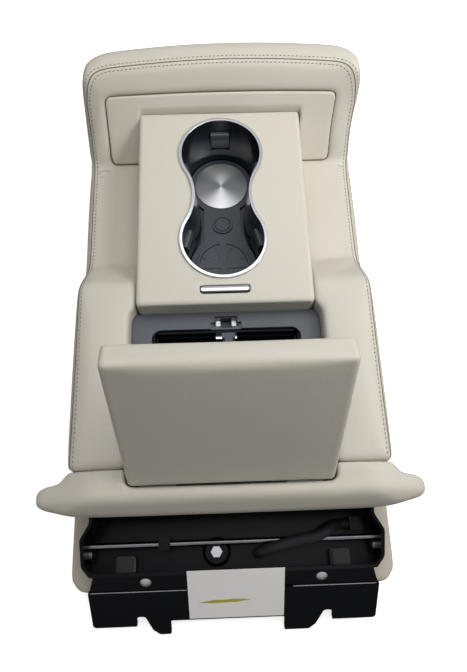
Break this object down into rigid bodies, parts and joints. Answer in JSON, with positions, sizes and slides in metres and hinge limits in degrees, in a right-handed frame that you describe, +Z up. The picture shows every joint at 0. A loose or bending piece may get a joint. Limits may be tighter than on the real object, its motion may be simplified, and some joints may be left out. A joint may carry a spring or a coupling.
{
  "type": "rear seat armrest",
  "caption": "Leather-covered fold-down rear seat armrest with a cup block, a lidded store, a raised nose, a winged rear flange and a moulded rear carrier.",
  "frame": {"origin": "under the middle of the whole armrest, on the plane of its underside", "axes": "+Z up from the underside, +Y from the rear carrier to the nose, +X to the right"},
  "size_m": [0.368, 0.6196, 0.2955],
  "materials": {
    "leather": "fine-grained covering",
    "leather_shade": "fine-grained covering",
    "bright_trim": "polished",
    "gloss_black": "gloss moulding",
    "mat_rubber": "satin",
    "spun_plate": "spun",
    "frame_plastic": "fine satin grain",
    "carrier_plastic": "moulded black",
    "white_plastic": "smooth",
    "steel": "plated",
    "paper": "plain paper",
    "felt": "felt",
    "loom_tape": "cloth tape"
  },
  "bodies": {
    "body": {"top_cushion": "leather", "nose_panel": "leather", "underside_cushion": "leather_shade", "rear_flange": "leather", "console_cover": "leather", "console_body": "carrier_plastic", "cup_bezel": "bright_trim", "cup_liner": "gloss_black", "cup_mat": "mat_rubber", "cup_plate": "spun_plate", "release_bezel": "gloss_black", "core_pan": "carrier_plastic", "storage_frame": "frame_plastic", "storage_bin": "frame_plastic", "storage_tray": "frame_plastic", "tray_pull": "bright_trim", "latch_housing": "frame_plastic", "lid_hinge_bracket_right": "steel", "lid_hinge_pin_right": "steel", "lid_hinge_bracket_left": "steel", "lid_hinge_pin_left": "steel", "hinge_screws": "steel", "base_carrier": "carrier_plastic", "rear_skirt": "carrier_plastic", "pivot_bush_right": "steel", "pivot_bush_left": "steel", "carrier_rivets": "steel", "paper_label": "paper", "cross_rod": "steel", "rod_clip": "carrier_plastic", "bolt_seat": "carrier_plastic", "centre_bolt": "steel", "felt_pad_left": "felt", "felt_pad_right": "felt", "wiring_loom": "loom_tape", "loom_grommet": "carrier_plastic", "loom_connector": "carrier_plastic"},
    "lid": {"lid_cushion": "leather", "lid_inner_panel": "frame_plastic", "lid_striker": "frame_plastic", "lid_hinge_arm_left": "steel", "lid_hinge_arm_right": "steel"},
    "release": {"release_bar": "bright_trim"},
    "jaw_right": {"latch_jaw_right": "white_plastic"},
    "jaw_left": {"latch_jaw_left": "white_plastic"},
    "grip_far": {"cup_finger_far": "mat_rubber"},
    "grip_far_left": {"cup_finger_far_left": "mat_rubber"},
    "grip_far_right": {"cup_finger_far_right": "mat_rubber"},
    "grip_near": {"cup_finger_near": "mat_rubber"},
    "grip_near_left": {"cup_finger_near_left": "mat_rubber"},
    "grip_near_right": {"cup_finger_near_right": "mat_rubber"}
  },
  "joints": [
    {"name": "lid_hinge", "type": "hinge", "parent": "body", "child": "lid", "pos_m": [0, -0.1628, 0.141], "axis": [1, 0, 0], "range_deg": [-66, 0]},
    {"name": "release_press", "type": "slide", "parent": "body", "child": "release", "axis": [0, 0, -1], "range_m": [0, 0.0025], "stiffness_N_per_m": 600, "springref_m": -0.003},
    {"name": "jaw_right_slide", "type": "slide", "parent": "body", "child": "jaw_right", "axis": [-1, 0, 0], "range_m": [0, 0.0026]},
    {"name": "jaw_left_slide", "type": "slide", "parent": "body", "child": "jaw_left", "axis": [1, 0, 0], "range_m": [0, 0.0026]},
    {"name": "grip_far_hinge", "type": "hinge", "parent": "body", "child": "grip_far", "pos_m": [0, 0.2273, 0.108], "axis": [-1, 0, 0], "range_deg": [0, 12], "stiffness_Nm_per_rad": 0.08, "springref_deg": -14.32},
    {"name": "grip_far_left_hinge", "type": "hinge", "parent": "body", "child": "grip_far_left", "pos_m": [-0.04038, 0.17468, 0.108], "axis": [0.2588, -0.9659, 0], "range_deg": [0, 12], "stiffness_Nm_per_rad": 0.08, "springref_deg": -14.32},
    {"name": "grip_far_right_hinge", "type": "hinge", "parent": "body", "child": "grip_far_right", "pos_m": [0.04038, 0.17468, 0.108], "axis": [0.2588, 0.9659, 0], "range_deg": [0, 12], "stiffness_Nm_per_rad": 0.08, "springref_deg": -14.32},
    {"name": "grip_near_hinge", "type": "hinge", "parent": "body", "child": "grip_near", "pos_m": [0, 0.0374, 0.108], "axis": [1, 0, 0], "range_deg": [0, 12], "stiffness_Nm_per_rad": 0.08, "springref_deg": -14.32},
    {"name": "grip_near_left_hinge", "type": "hinge", "parent": "body", "child": "grip_near_left", "pos_m": [-0.04038, 0.09002, 0.108], "axis": [-0.2588, -0.9659, 0], "range_deg": [0, 12], "stiffness_Nm_per_rad": 0.08, "springref_deg": -14.32},
    {"name": "grip_near_right_hinge", "type": "hinge", "parent": "body", "child": "grip_near_right", "pos_m": [0.04038, 0.09002, 0.108], "axis": [-0.2588, 0.9659, 0], "range_deg": [0, 12], "stiffness_Nm_per_rad": 0.08, "springref_deg": -14.32}
  ],
  "couplings": [
    {"joint": "jaw_left_slide", "follows": "jaw_right_slide", "ratio": 1}
  ]
}
